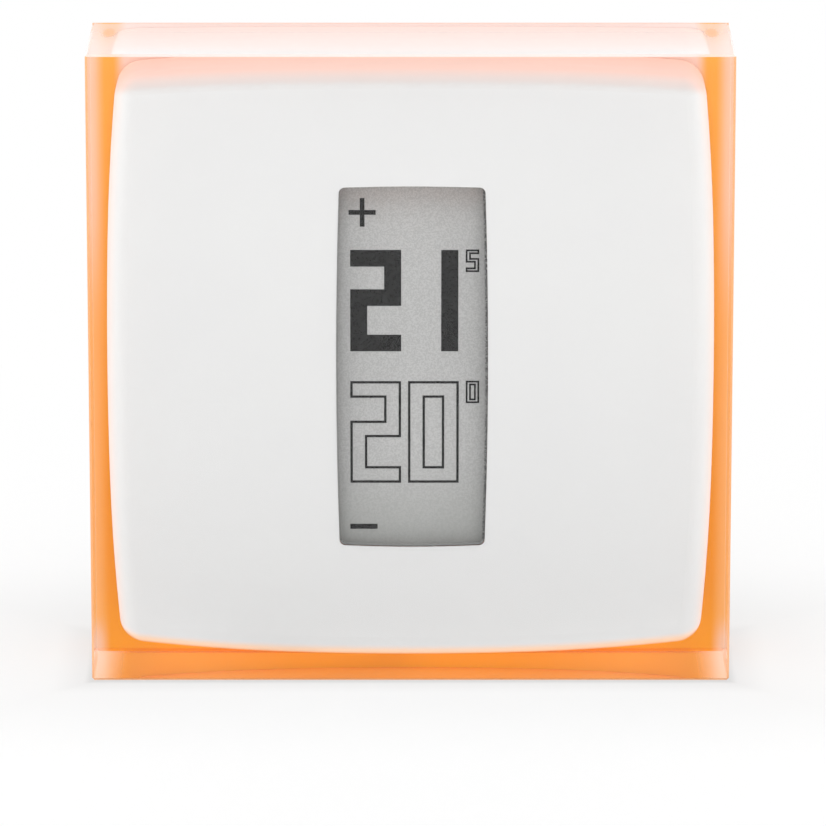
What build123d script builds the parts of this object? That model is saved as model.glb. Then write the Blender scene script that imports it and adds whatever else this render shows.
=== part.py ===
import os
from math import sqrt

from build123d import *

os.makedirs("parts", exist_ok=True)

# Wall thermostat. Millimetres. The wall is the plane Y = 0, the front looks along -Y, and +Z is up.
# Depths are distances from the wall towards the front, so depth d lies at Y = -d.

# Clear cover: a square acrylic block with a pillow-shaped hollow behind its front wall
cover_size = 83.0
cover_back = 0.6
cover_edge = 0.3
side_wall = 2.1
front_wall = 1.5
outline_bow = 1.5
outline_flat = 16.0
outline_flat_radius = 700.0
outline_corner_radius = 3.6
shoulder_radius = 3.4
dome_radius = 235.0

# Display window: a clear pad on the back of the front wall stands in the liner's opening
window_side_margin = 1.2
window_end_margin = 1.57
window_side_bow = 0.4
window_end_bow = 0.2
window_corner_radius = 0.8
window_shift = 0.2
window_gap = 0.15
window_air = 0.6

# White liner inside the hollow, and the tinted film on the block's back rim
bond_gap = 0.12
liner_wall = 1.2
liner_back = 1.0
film_thick = 0.18
film_gap = 0.02
film_inset = 0.0
film_lap = 0.9

# Wall plate
plate_thick = 2.2
plate_gap = 0.4
plate_edge = 0.4
slot_edge = 4.9
slot_width = 4.4
slot_length = 7.0
slot_sink_radius = 4.2
slot_sink_depth = 0.6
entry_width = 26.0
entry_corner = 2.0
entry_gap = 4.7
entry_lip = 1.2
entry_lip_rise = 1.6
tongue_height = 16.0
tongue_width = 8.0
tongue_thick = 1.4
tongue_reach = 6.8
tongue_gap = 0.25
tongue_wall_gap = 1.0
guide_thick = 1.2

# Batteries, three lying one above the other
battery_diameter = 10.5
battery_length = 44.5
battery_nub_radius = 1.9
battery_nub_length = 1.0
battery_edge = 0.4
battery_rows = 3
battery_pitch = 11.2
battery_back_gap = 0.45
battery_gap = 0.15
battery_edge_gap = 0.35

# Chassis that carries the batteries, the board and the display
rock_gap = 0.78
chassis_back = 1.2
chassis_wall = 2.0
chassis_inner_corner = 8.0
bay_wall = 1.0
bay_end = 1.2
bay_back_gap = 0.3
ridge_offset = 1.6
board_opening_side = 5.5
board_opening_gap = 5.7
board_opening_foot = 3.5
screw_boss_radius = 2.5
screw_boss_length = 5.0

# Battery contacts
contact_thick = 0.4
contact_space = 1.75
contact_reach = 3.8
contact_width = 8.0
contact_bump_radius = 2.0
contact_air = 0.1
leaf_thick = 0.3
leaf_width = 5.0
leaf_rise = 3.2

# Main board and what is on it
board_side_zone = 9.0
board_end_gap = 3.3
board_thick = 1.0
board_corner = 1.5
board_screw_inset = 2.5
board_screw_foot = 6.5
board_screw_hole = 1.15
board_screw_radius = 1.0
board_screw_head = 1.9
board_screw_head_height = 0.8
board_screw_length = 4.6
board_screw_drive = 0.5
board_screw_drive_depth = 0.4
pilot_gap = 0.02
pad_thick = 0.4
pad_margin = 0.6
display_width = 24.0
display_end_zone = 5.5
glass_thick = 0.6
laminate_thick = 0.5
laminate_margin = 1.0
display_gap = 0.562
ribbon_width = 12.0
ribbon_thick = 0.15
ribbon_length = 3.2
connector_width = 3.4
connector_height = 14.0
connector_depth = 1.2
connector_gap = 0.05
radio_gap = 0.6
radio_drop = 3.7
radio_width = 8.0
radio_height = 15.0
radio_base = 0.5
radio_can = 1.1
radio_margin = 0.5
antenna_gap = 0.8
antenna_width = 6.4
antenna_height = 2.2
antenna_depth = 1.0
chip_gap = 1.3
chip_z = -15.0
chip_size = 6.6
chip_depth = 0.9
chip_lead = 0.5
sensor_x = 12.5
sensor_foot = 2.4
sensor_width = 2.2
sensor_height = 1.4
sensor_depth = 0.7
relay_x = -5.5
relay_width = 14.0
relay_height = 9.0
relay_gap = 0.5
relay_drop = 1.0
capacitor_x = 9.0
capacitor_radius = 2.5
capacitor_gap = 0.4
capacitor_pitch = 5.4

# Switches under the top and bottom of the cover
switch_end = 2.5
switch_size = 4.6
switch_depth = 0.9
switch_well = 0.3
plunger_radius = 1.2
plunger_gap = 0.08
plunger_proud = 0.35
plunger_travel_gap = 0.3
post_radius = 1.6
post_gap = 0.05

# Pivot pins the cover rocks on
pivot_depth = 10.5
pin_radius = 1.5
pin_run_gap = 0.05
pin_seat_gap = 0.01
pin_length = 6.6
pin_end_gap = 0.2
pivot_boss = 5.2
pivot_boss_reach = 3.8

# Terminal block on the wall plate
terminal_width = 27.0
terminal_height = 11.0
terminal_depth = 8.0
terminal_gap = 3.0
terminal_foot = 3.9
terminal_edge = 0.5
pole_x = 3.6
pole_well = 5.4
pole_well_floor = 1.0
pole_well_depth = 4.4
wire_radius = 1.4
wire_depth = 3.2
clamp_size = 5.0
clamp_depth = 1.6
clamp_rise = 0.3
clamp_hole_gap = 0.1
terminal_screw_radius = 1.2
terminal_screw_head = 2.0
terminal_screw_head_gap = 0.15
terminal_screw_head_height = 1.6
terminal_screw_sink = 0.4
terminal_screw_slot = 0.6
terminal_screw_slot_depth = 0.7
rivet_x = 8.4
rivet_radius = 1.8
rivet_proud = 0.2
rivet_seat = 1.2
rivet_gap = 0.02
spring_barrel_radius = 1.3
spring_barrel_length = 2.0
spring_tip_radius = 0.7
spring_tip_gap = 0.15

# Derived depths up to the board, from the wall forward
battery_radius = battery_diameter / 2
battery_axis = plate_thick + battery_back_gap + battery_radius
bay_front = battery_axis + battery_radius + battery_gap
board_back = bay_front + bay_wall
board_front = board_back + board_thick
display_back = board_front + pad_thick
display_front = display_back + glass_thick + laminate_thick
window_back = display_front + window_air
plunger_front = board_front + switch_depth + plunger_proud
plunger_back = board_front + switch_well + plunger_travel_gap
terminal_front = plate_thick + terminal_depth
relay_depth = board_back - terminal_front - relay_gap
capacitor_depth = board_back - terminal_front - capacitor_gap

# Derived half sizes, each set in from the one around it
cavity_half = cover_size / 2 - side_wall
outline_corner = cavity_half - outline_bow
outline_flat_drop = outline_flat**2 / (2 * outline_flat_radius)
liner_inset = bond_gap + liner_wall
chassis_inset = liner_inset + rock_gap
chassis_half = cavity_half - chassis_inset
chassis_inner = chassis_half - chassis_wall
plate_half = chassis_inner - plate_gap
slot_x = plate_half - slot_edge

# Battery rows from the top down, the terminal block from the foot up, and the cable opening between
top_row = chassis_inner - battery_edge_gap - battery_radius
row_heights = [top_row - row * battery_pitch for row in range(battery_rows)]
bay_low = row_heights[-1] - battery_radius - battery_edge_gap
bay_half = battery_length / 2 + contact_space + contact_thick
terminal_middle = -plate_half + terminal_foot + terminal_height / 2
entry_top = bay_low - entry_gap
entry_low = terminal_middle + terminal_height / 2 + terminal_gap
entry_height = entry_top - entry_low
entry_middle = (entry_top + entry_low) / 2

# Board, and the display and switches on its front
board_width = display_width + 2 * board_side_zone
board_height = 2 * (chassis_inner - board_end_gap)
display_height = board_height - 2 * display_end_zone
laminate_width = display_width - 2 * laminate_margin
laminate_height = display_height - 2 * laminate_margin
window_width = laminate_width - 2 * window_side_margin
window_height = laminate_height - 2 * window_end_margin
switch_height = board_height / 2 - switch_end
board_screw_x = board_width / 2 - board_screw_inset
board_screw_high = (row_heights[0] + row_heights[1]) / 2
board_screw_low = board_height / 2 - board_screw_foot
board_screws = [
    (side * board_screw_x, height)
    for side in (-1, 1)
    for height in (board_screw_high, -board_screw_low)
]
opening_top = bay_low - board_opening_gap
opening_low = -board_height / 2 + board_opening_foot
opening_height = opening_top - opening_low
opening_middle = (opening_top + opening_low) / 2
opening_width = board_width - 2 * board_opening_side

# Small pieces beside the display
antenna_z = board_screw_high - board_screw_head - antenna_gap - antenna_height / 2
radio_x = -(display_width / 2 + radio_gap + radio_width / 2)
radio_z = antenna_z - antenna_height / 2 - radio_drop - radio_height / 2
chip_x = display_width / 2 + chip_gap + chip_size / 2
sensor_z = -board_height / 2 + sensor_foot

# Front of the hollow, which clears the display's corners
liner_inner_radius = dome_radius - liner_inset
display_diagonal = sqrt((display_width / 2) ** 2 + (display_height / 2) ** 2)
display_drop = liner_inner_radius - sqrt(liner_inner_radius**2 - display_diagonal**2)
cavity_front = display_front + display_gap + display_drop + liner_inset
cover_depth = cavity_front + front_wall


def block(x, z, width, height, back, front, mode=Mode.ADD):
    """Rectangular block from one depth to another."""
    with Locations((x, -(back + front) / 2, z)):
        Box(width, front - back, height, mode=mode)


def post(x, z, radius, back, front, mode=Mode.ADD):
    """Round post standing out from the wall."""
    with Locations(Location((x, -(back + front) / 2, z), (90, 0, 0))):
        Cylinder(radius, front - back, mode=mode)


def rod(x, depth, z, radius, length, mode=Mode.ADD):
    """Round rod lying across the object, centred on x."""
    with Locations(Location((x, -depth, z), (0, 90, 0))):
        Cylinder(radius, length, mode=mode)


def outline_prism(inset, back, front):
    """Straight prism on the pillow's outline."""
    with BuildPart() as body:
        with BuildSketch(Plane.XZ.offset(back)) as outline:
            with BuildLine() as loop:
                flat_end = cavity_half - outline_flat_drop
                side = ThreePointArc((flat_end, -outline_flat), (cavity_half, 0), (flat_end, outline_flat))
                TangentArc((flat_end, outline_flat), (outline_corner, outline_corner), tangent=side % 1)
                TangentArc((flat_end, -outline_flat), (outline_corner, -outline_corner), tangent=-(side % 0))
                right = loop.line
                for turn in (90, 180, 270):
                    add(right, rotation=turn)
            make_face()
            corners = outline.vertices().sort_by(lambda v: abs(v.X) + abs(v.Y))[-4:]
            fillet(corners, outline_corner_radius)
            if inset:
                offset(amount=-inset, mode=Mode.REPLACE)
        extrude(amount=front - back)
    return body.part


def pillow(inset, back):
    """Pillow solid: the outline's prism under a shallow dome, with a rounded shoulder."""
    with BuildPart() as body:
        add(outline_prism(inset, back, cover_depth))
        with Locations((0, dome_radius - cavity_front, 0)):
            Sphere(dome_radius - inset, mode=Mode.INTERSECT)
        dome = body.faces().filter_by(GeomType.SPHERE)[0]
        fillet(dome.edges(), shoulder_radius - inset)
    return body.part


def window_prism(inset, back, front):
    """Prism on the display window's outline, whose four sides bow out a little."""
    half_width = window_width / 2 - inset
    half_height = window_height / 2 - inset
    corner_x = half_width - window_side_bow
    corner_z = half_height - window_end_bow
    with BuildPart() as body:
        with BuildSketch(Plane.XZ.offset(back)) as outline:
            with BuildLine():
                ThreePointArc((corner_x, -corner_z), (half_width, 0), (corner_x, corner_z))
                ThreePointArc((corner_x, corner_z), (0, half_height), (-corner_x, corner_z))
                ThreePointArc((-corner_x, corner_z), (-half_width, 0), (-corner_x, -corner_z))
                ThreePointArc((-corner_x, -corner_z), (0, -half_height), (corner_x, -corner_z))
            make_face()
            fillet(outline.vertices(), window_corner_radius - inset)
        extrude(amount=front - back)
    return body.part.moved(Location((window_shift, 0, 0)))


# Clear cover
with BuildPart() as clear_cover:
    block(0, 0, cover_size, cover_size, cover_back, cover_depth)
    chamfer(clear_cover.edges(), cover_edge)
    add(pillow(0, 0), mode=Mode.SUBTRACT)
    add(window_prism(window_gap, window_back, cavity_front + front_wall / 2))
clear_cover.part.label = "clear_cover"
export_step(clear_cover.part, "parts/clear_cover.step")

# Tinted film stuck to the block's back rim
with BuildPart() as tint_film:
    film_front = cover_back - film_gap
    film_size = cover_size - 2 * film_inset
    block(0, 0, film_size, film_size, film_front - film_thick, film_front)
    add(outline_prism(film_lap, 0, cover_back), mode=Mode.SUBTRACT)
tint_film.part.label = "tint_film"
export_step(tint_film.part, "parts/tint_film.step")

# Posts that press the two switches, trimmed to end inside the liner's wall
with BuildPart() as press_posts:
    for height in (-switch_height, switch_height):
        post(0, height, post_radius, plunger_front + post_gap, cover_depth)
    add(pillow(bond_gap + liner_wall / 2, liner_back), mode=Mode.INTERSECT)

# White liner
with BuildPart() as face_liner:
    add(pillow(bond_gap, liner_back))
    add(pillow(liner_inset, 0), mode=Mode.SUBTRACT)
    add(window_prism(0, display_front, cover_depth), mode=Mode.SUBTRACT)
    for side in (-1, 1):
        rod(side * cavity_half, pivot_depth, 0, pin_radius + pin_run_gap, 4 * liner_wall, mode=Mode.SUBTRACT)
    add(press_posts.part)
face_liner.part.label = "face_liner"
export_step(face_liner.part, "parts/face_liner.step")

# Chassis
with BuildPart() as chassis:
    add(pillow(chassis_inset, chassis_back))
    block(0, 0, cover_size, cover_size, board_back, cover_depth, mode=Mode.SUBTRACT)
    with BuildSketch(Plane.XZ):
        RectangleRounded(2 * chassis_inner, 2 * chassis_inner, chassis_inner_corner)
    extrude(amount=bay_front, mode=Mode.SUBTRACT)
    # Battery bay: troughs, end walls and a lower wall
    bay_height = chassis_inner - bay_low
    bay_middle = (chassis_inner + bay_low) / 2
    bay_back = plate_thick + bay_back_gap
    ridge_length = 2 * (bay_half - contact_thick - contact_air)
    block(0, bay_middle, ridge_length, bay_height, battery_axis + ridge_offset, bay_front)
    for height in row_heights:
        rod(0, battery_axis, height, battery_radius + battery_gap, 2 * bay_half, mode=Mode.SUBTRACT)
    for side in (-1, 1):
        block(side * (bay_half + bay_end / 2), bay_middle, bay_end, bay_height, bay_back, bay_front)
    block(0, bay_low - bay_end / 2, 2 * (bay_half + bay_end), bay_end, battery_axis - ridge_offset, bay_front)
    # Opening behind the lower half of the board
    block(
        0, opening_middle, opening_width, opening_height,
        battery_axis, board_back + board_thick, mode=Mode.SUBTRACT,
    )
    # Screw bosses and pilot holes
    for x in (-board_screw_x, board_screw_x):
        post(x, -board_screw_low, screw_boss_radius, board_back - screw_boss_length, board_back)
    for x, z in board_screws:
        pilot_back = board_front - board_screw_length - pilot_gap
        post(x, z, board_screw_radius + pilot_gap, pilot_back, board_front, mode=Mode.SUBTRACT)
    # Pivot bosses with the pins' bores
    for side in (-1, 1):
        boss_middle = side * (chassis_inner - pivot_boss_reach / 2)
        block(
            boss_middle, 0, pivot_boss_reach, pivot_boss,
            pivot_depth - pivot_boss / 2, pivot_depth + pivot_boss / 2,
        )
        seat_radius = pin_radius + pin_seat_gap
        rod(side * chassis_half, pivot_depth, 0, seat_radius, 2 * pin_length, mode=Mode.SUBTRACT)
    # Guide ribs each side of the wall plate's tongues
    guide_reach = tongue_wall_gap + tongue_thick
    for side in (-1, 1):
        for height in (-tongue_height, tongue_height):
            for edge in (-1, 1):
                rib = height + edge * (tongue_width / 2 + tongue_gap + guide_thick / 2)
                block(
                    side * (chassis_inner - guide_reach / 2), rib, guide_reach, guide_thick,
                    plate_thick + bay_back_gap, bay_front,
                )
chassis.part.label = "chassis"
export_step(chassis.part, "parts/chassis.step")

# Pivot pins
with BuildPart() as pivot_pins:
    pin_outer = cavity_half - bond_gap - pin_end_gap
    for side in (-1, 1):
        rod(side * (pin_outer - pin_length / 2), pivot_depth, 0, pin_radius, pin_length)
pivot_pins.part.label = "pivot_pins"
export_step(pivot_pins.part, "parts/pivot_pins.step")

# Main board
with BuildPart() as main_board:
    with BuildSketch(Plane.XZ.offset(board_back)):
        RectangleRounded(board_width, board_height, board_corner)
        with Locations(*board_screws):
            Circle(board_screw_hole, mode=Mode.SUBTRACT)
    extrude(amount=board_thick)
main_board.part.label = "main_board"
export_step(main_board.part, "parts/main_board.step")

# Board screws
with BuildPart() as board_screws_set:
    for x, z in board_screws:
        post(x, z, board_screw_radius, board_front - board_screw_length, board_front)
        head_front = board_front + board_screw_head_height
        post(x, z, board_screw_head, board_front, head_front)
        drive_back = head_front - board_screw_drive_depth
        for width, height in ((board_screw_head, board_screw_drive), (board_screw_drive, board_screw_head)):
            block(x, z, width, height, drive_back, head_front, mode=Mode.SUBTRACT)
board_screws_set.part.label = "board_screws"
export_step(board_screws_set.part, "parts/board_screws.step")

# Display: foam pad, glass and the front laminate that shows the picture
with BuildPart() as display_pad:
    pad_width = display_width - 2 * pad_margin
    pad_height = display_height - 2 * pad_margin
    block(0, 0, pad_width, pad_height, board_front, display_back)
display_pad.part.label = "display_pad"
export_step(display_pad.part, "parts/display_pad.step")

with BuildPart() as display_glass:
    block(0, 0, display_width, display_height, display_back, display_back + glass_thick)
display_glass.part.label = "display_glass"
export_step(display_glass.part, "parts/display_glass.step")

with BuildPart() as display_laminate:
    block(0, 0, laminate_width, laminate_height, display_back + glass_thick, display_front)
display_laminate.part.label = "display_laminate"
export_step(display_laminate.part, "parts/display_laminate.step")

# Ribbon from the glass to its connector on the board
with BuildPart() as display_ribbon:
    ribbon_x = display_width / 2 + ribbon_length / 2
    ribbon_back = display_back + glass_thick / 2 - ribbon_thick / 2
    block(ribbon_x, 0, ribbon_length, ribbon_width, ribbon_back, ribbon_back + ribbon_thick)
display_ribbon.part.label = "display_ribbon"
export_step(display_ribbon.part, "parts/display_ribbon.step")

with BuildPart() as ribbon_connector:
    connector_x = display_width / 2 + ribbon_length + connector_gap + connector_width / 2
    block(connector_x, 0, connector_width, connector_height, board_front, board_front + connector_depth)
    chamfer(ribbon_connector.faces().sort_by(Axis.Y)[0].edges(), connector_depth / 5)
ribbon_connector.part.label = "ribbon_connector"
export_step(ribbon_connector.part, "parts/ribbon_connector.step")

# Radio module: a small base board under a metal can, and its antenna
with BuildPart() as radio_base_board:
    block(radio_x, radio_z, radio_width, radio_height, board_front, board_front + radio_base)
radio_base_board.part.label = "radio_base"
export_step(radio_base_board.part, "parts/radio_base.step")

with BuildPart() as radio_shield:
    shield_back = board_front + radio_base
    shield_width = radio_width - 2 * radio_margin
    shield_height = radio_height - 2 * radio_margin
    block(radio_x, radio_z, shield_width, shield_height, shield_back, shield_back + radio_can)
    fillet(radio_shield.edges().filter_by(Axis.Y), radio_margin)
    fillet(radio_shield.faces().sort_by(Axis.Y)[0].edges(), radio_margin / 2)
radio_shield.part.label = "radio_shield"
export_step(radio_shield.part, "parts/radio_shield.step")

with BuildPart() as radio_antenna:
    block(radio_x, antenna_z, antenna_width, antenna_height, board_front, board_front + antenna_depth)
radio_antenna.part.label = "radio_antenna"
export_step(radio_antenna.part, "parts/radio_antenna.step")

# Microcontroller with its rows of leads
with BuildPart() as microcontroller:
    block(chip_x, chip_z, chip_size, chip_size, board_front, board_front + chip_depth)
    chamfer(microcontroller.faces().sort_by(Axis.Y)[0].edges(), chip_depth / 6)
    lead_span = chip_size + 2 * chip_lead
    for step in range(-4, 5):
        lead = step * chip_size / 10
        block(chip_x, chip_z + lead, lead_span, chip_lead / 2, board_front, board_front + chip_depth / 4)
        block(chip_x + lead, chip_z, chip_lead / 2, lead_span, board_front, board_front + chip_depth / 4)
microcontroller.part.label = "microcontroller"
export_step(microcontroller.part, "parts/microcontroller.step")

# Temperature sensor at the board's cool lower edge
with BuildPart() as temperature_sensor:
    block(sensor_x, sensor_z, sensor_width, sensor_height, board_front, board_front + sensor_depth)
temperature_sensor.part.label = "temperature_sensor"
export_step(temperature_sensor.part, "parts/temperature_sensor.step")

# Relay and capacitors behind the board
with BuildPart() as power_relay:
    relay_z = opening_top - relay_drop - relay_height / 2
    block(relay_x, relay_z, relay_width, relay_height, board_back - relay_depth, board_back)
    fillet(power_relay.edges().filter_by(Axis.Y), terminal_edge)
power_relay.part.label = "power_relay"
export_step(power_relay.part, "parts/power_relay.step")

with BuildPart() as capacitors:
    for place in (0, 1):
        capacitor_z = opening_top - relay_drop - capacitor_radius - place * capacitor_pitch
        post(capacitor_x, capacitor_z, capacitor_radius, board_back - capacitor_depth, board_back)
    fillet(capacitors.faces().sort_by(Axis.Y)[-2:].edges(), capacitor_radius / 6)
capacitors.part.label = "capacitors"
export_step(capacitors.part, "parts/capacitors.step")

# Switches: two bodies on the board and their plungers
with BuildPart() as switch_bodies:
    for height in (-switch_height, switch_height):
        block(0, height, switch_size, switch_size, board_front, board_front + switch_depth)
        well_back = board_front + switch_well
        well_front = board_front + 2 * switch_depth
        post(0, height, plunger_radius + plunger_gap, well_back, well_front, mode=Mode.SUBTRACT)
switch_bodies.part.label = "switch_bodies"
export_step(switch_bodies.part, "parts/switch_bodies.step")

with BuildPart() as plunger_top:
    post(0, switch_height, plunger_radius, plunger_back, plunger_front)
plunger_top.part.label = "plunger_top"
export_step(plunger_top.part, "parts/plunger_top.step")

with BuildPart() as plunger_bottom:
    post(0, -switch_height, plunger_radius, plunger_back, plunger_front)
plunger_bottom.part.label = "plunger_bottom"
export_step(plunger_bottom.part, "parts/plunger_bottom.step")

# Batteries: the middle one lies the other way round
battery_names = ["battery_top", "battery_middle", "battery_bottom"]
for row, name in enumerate(battery_names):
    nub_side = 1 if row % 2 == 0 else -1
    with BuildPart() as battery:
        can_length = battery_length - battery_nub_length
        rod(-nub_side * battery_nub_length / 2, battery_axis, row_heights[row], battery_radius, can_length)
        fillet(battery.edges().filter_by(GeomType.CIRCLE), battery_edge)
        nub_x = nub_side * (battery_length - battery_nub_length) / 2
        rod(nub_x, battery_axis, row_heights[row], battery_nub_radius, battery_nub_length)
    battery.part.label = name
    export_step(battery.part, f"parts/{name}.step")


def contact_plate(side, top, low):
    """Plain contact plate on a bay end, spanning one or two rows."""
    plate_x = side * (bay_half - contact_thick / 2)
    middle = (row_heights[top] + row_heights[low]) / 2
    span = row_heights[top] - row_heights[low] + contact_width
    block(plate_x, middle, contact_thick, span, battery_axis - contact_reach, battery_axis + contact_reach)


def contact_bump(side, row):
    """Round bump that meets a battery's nub."""
    bump_length = contact_space - contact_air
    bump_x = side * (bay_half - contact_thick - bump_length / 2)
    rod(bump_x, battery_axis, row_heights[row], contact_bump_radius, bump_length)


def contact_leaf(side, row):
    """Bent leaf that presses on a battery's flat end."""
    root = side * (bay_half - contact_thick)
    crest = side * (battery_length / 2 + contact_air + leaf_thick / 2)
    with BuildPart() as leaf:
        with BuildSketch(Plane.XY.offset(row_heights[row])):
            with BuildLine():
                Polyline(
                    (root, -battery_axis - leaf_rise),
                    (crest, -battery_axis),
                    ((root + crest) / 2, -battery_axis + leaf_rise / 2),
                )
            trace(line_width=leaf_thick)
        extrude(amount=leaf_width / 2, both=True)
    return leaf.part


with BuildPart() as contact_bridge_left:
    contact_plate(-1, 0, 1)
    contact_bump(-1, 1)
    add(contact_leaf(-1, 0))
contact_bridge_left.part.label = "contact_bridge_left"
export_step(contact_bridge_left.part, "parts/contact_bridge_left.step")

with BuildPart() as contact_tab_left:
    contact_plate(-1, 2, 2)
    add(contact_leaf(-1, 2))
contact_tab_left.part.label = "contact_tab_left"
export_step(contact_tab_left.part, "parts/contact_tab_left.step")

with BuildPart() as contact_bridge_right:
    contact_plate(1, 1, 2)
    contact_bump(1, 2)
    add(contact_leaf(1, 1))
contact_bridge_right.part.label = "contact_bridge_right"
export_step(contact_bridge_right.part, "parts/contact_bridge_right.step")

with BuildPart() as contact_tab_right:
    contact_plate(1, 0, 0)
    contact_bump(1, 0)
contact_tab_right.part.label = "contact_tab_right"
export_step(contact_tab_right.part, "parts/contact_tab_right.step")

# Wall plate
with BuildPart() as wall_plate:
    with BuildSketch(Plane.XZ):
        RectangleRounded(2 * plate_half, 2 * plate_half, chassis_inner_corner)
    extrude(amount=plate_thick)
    chamfer(wall_plate.faces().sort_by(Axis.Y)[0].edges(), plate_edge)
    # Raised lip around the cable opening, and sunk seats for the screw heads
    lip_width = entry_width + 2 * entry_lip
    lip_height = entry_height + 2 * entry_lip
    with BuildSketch(Plane.XZ.offset(plate_thick)):
        with Locations((0, entry_middle)):
            RectangleRounded(lip_width, lip_height, entry_corner + entry_lip)
    extrude(amount=entry_lip_rise)
    with BuildSketch(Plane.XZ.offset(plate_thick - slot_sink_depth)):
        with Locations((-slot_x, 0), (slot_x, 0)):
            Circle(slot_sink_radius)
    extrude(amount=cover_depth, mode=Mode.SUBTRACT)
    with BuildSketch(Plane.XZ):
        with Locations((0, entry_middle)):
            RectangleRounded(entry_width, entry_height, entry_corner)
        with Locations((-slot_x, 0), (slot_x, 0)):
            SlotOverall(slot_length, slot_width)
    extrude(amount=cover_depth, mode=Mode.SUBTRACT)
    # Four tongues that guide the thermostat onto the plate
    tongue_x = chassis_inner - tongue_wall_gap - tongue_thick / 2
    tongue_front = plate_thick + tongue_reach
    for side in (-1, 1):
        for height in (-tongue_height, tongue_height):
            block(side * tongue_x, height, tongue_thick, tongue_width, plate_thick / 2, tongue_front)
    tips = wall_plate.faces().filter_by(Axis.Y).sort_by(Axis.Y)[:4]
    chamfer(tips.edges().filter_by(Axis.Z), tongue_thick / 3)
wall_plate.part.label = "wall_plate"
export_step(wall_plate.part, "parts/wall_plate.step")

# Terminal block with two poles: wells for the clamps, wire holes on top, screw holes in front
with BuildPart() as terminal_block:
    block(0, terminal_middle, terminal_width, terminal_height, plate_thick, terminal_front)
    chamfer(terminal_block.faces().sort_by(Axis.Y)[0].edges(), terminal_edge)
    well_back = plate_thick + pole_well_floor
    well_front = well_back + pole_well_depth
    for x in (-pole_x, pole_x):
        block(x, terminal_middle, pole_well, pole_well, well_back, well_front, mode=Mode.SUBTRACT)
        head_hole = terminal_screw_head + terminal_screw_head_gap
        post(x, terminal_middle, head_hole, well_back, terminal_front + terminal_edge, mode=Mode.SUBTRACT)
        with Locations((x, -(well_back + wire_depth), terminal_middle + terminal_height / 2)):
            Cylinder(wire_radius, terminal_height, mode=Mode.SUBTRACT)
    for x in (-rivet_x, rivet_x):
        seat_back = terminal_front - rivet_seat
        seat_front = terminal_front + terminal_edge
        post(x, terminal_middle, rivet_radius + rivet_gap, seat_back, seat_front, mode=Mode.SUBTRACT)
terminal_block.part.label = "terminal_block"
export_step(terminal_block.part, "parts/terminal_block.step")

# Terminal screws with slotted heads
with BuildPart() as terminal_screws:
    head_front = terminal_front - terminal_screw_sink
    head_back = head_front - terminal_screw_head_height
    for x in (-pole_x, pole_x):
        post(x, terminal_middle, terminal_screw_head, head_back, head_front)
        tail_back = plate_thick + pole_well_floor + clamp_rise / 2
        post(x, terminal_middle, terminal_screw_radius, tail_back, head_back)
        slot_back = head_front - terminal_screw_slot_depth
        slot_size = (3 * terminal_screw_head, terminal_screw_slot)
        block(x, terminal_middle, *slot_size, slot_back, terminal_front, mode=Mode.SUBTRACT)
terminal_screws.part.label = "terminal_screws"
export_step(terminal_screws.part, "parts/terminal_screws.step")

# Wire clamps that ride on the screws
with BuildPart() as wire_clamps:
    clamp_back = plate_thick + pole_well_floor + clamp_rise
    for x in (-pole_x, pole_x):
        block(x, terminal_middle, clamp_size, clamp_size, clamp_back, clamp_back + clamp_depth)
        hole_radius = terminal_screw_radius + clamp_hole_gap
        post(x, terminal_middle, hole_radius, plate_thick, terminal_front, mode=Mode.SUBTRACT)
wire_clamps.part.label = "wire_clamps"
export_step(wire_clamps.part, "parts/wire_clamps.step")

# Contact rivets on the terminal block and the spring contacts that meet them
with BuildPart() as contact_rivets:
    for x in (-rivet_x, rivet_x):
        post(x, terminal_middle, rivet_radius, terminal_front - rivet_seat, terminal_front + rivet_proud)
contact_rivets.part.label = "contact_rivets"
export_step(contact_rivets.part, "parts/contact_rivets.step")

with BuildPart() as spring_contacts:
    for x in (-rivet_x, rivet_x):
        post(x, terminal_middle, spring_barrel_radius, board_back - spring_barrel_length, board_back)
        tip_back = terminal_front + rivet_proud + spring_tip_gap
        post(x, terminal_middle, spring_tip_radius, tip_back, board_back)
spring_contacts.part.label = "spring_contacts"
export_step(spring_contacts.part, "parts/spring_contacts.step")
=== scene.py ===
# %% [markdown]
# # A wall thermostat in a block of clear acrylic
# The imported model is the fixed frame: every node is already at its place, in metres, with the wall at
# Y = 0 and the front looking along -Y. This lesson dresses those nodes with finishes made of nodes, and
# models the signs on the display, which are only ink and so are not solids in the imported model.

# %% The frame
from math import hypot, pi, radians

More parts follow.
